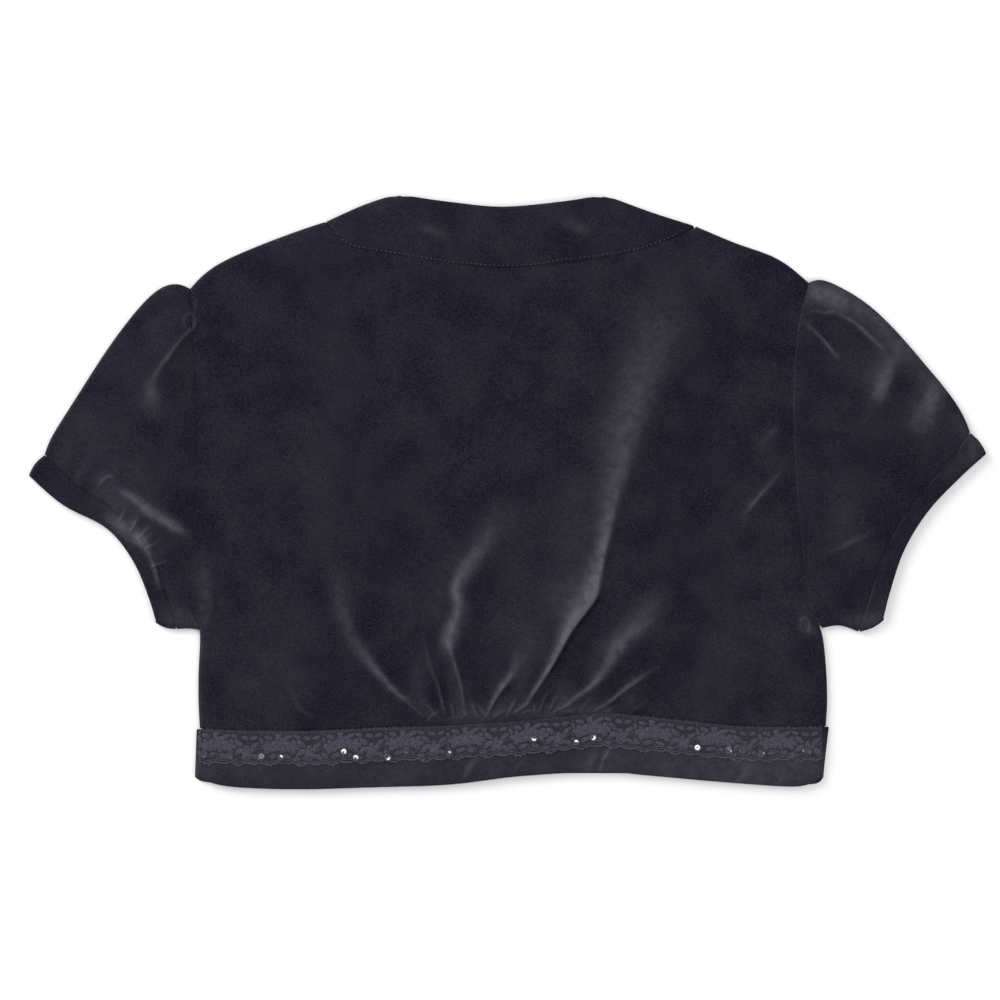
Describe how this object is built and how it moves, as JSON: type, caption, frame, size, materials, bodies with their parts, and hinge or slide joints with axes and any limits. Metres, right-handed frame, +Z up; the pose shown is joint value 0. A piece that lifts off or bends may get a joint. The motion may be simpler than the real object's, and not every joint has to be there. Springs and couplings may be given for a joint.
{
  "type": "shrug",
  "caption": "Cropped velvet shrug with short puff sleeves, laid flat with its back up: gathered back waist, wide neck band, deep waistband and a scalloped lace trim with sequins.",
  "frame": {"origin": "centre of the box of the laid-out garment, on the surface that it lies on", "axes": "+X to the right when the back is looked down on, which is towards the wearer's right sleeve, +Y from the waist to the neck, +Z up out of the surface"},
  "size_m": [0.633, 0.3938, 0.0119],
  "materials": {
    "velvet": "near-black blue cotton velvet with a short pile that brightens at grazing light",
    "lace": "matt navy floral net lace with a scalloped edge",
    "sequin": "small clear cup sequins with a bright glint"
  },
  "bodies": {
    "root": {"back_panel": "velvet", "front_left": "velvet", "front_right": "velvet", "sleeve_left": "velvet", "sleeve_right": "velvet", "cuff_left": "velvet", "cuff_right": "velvet", "neck_band": "velvet", "waistband": "velvet", "lace_trim": "lace"}
  },
  "joints": []
}
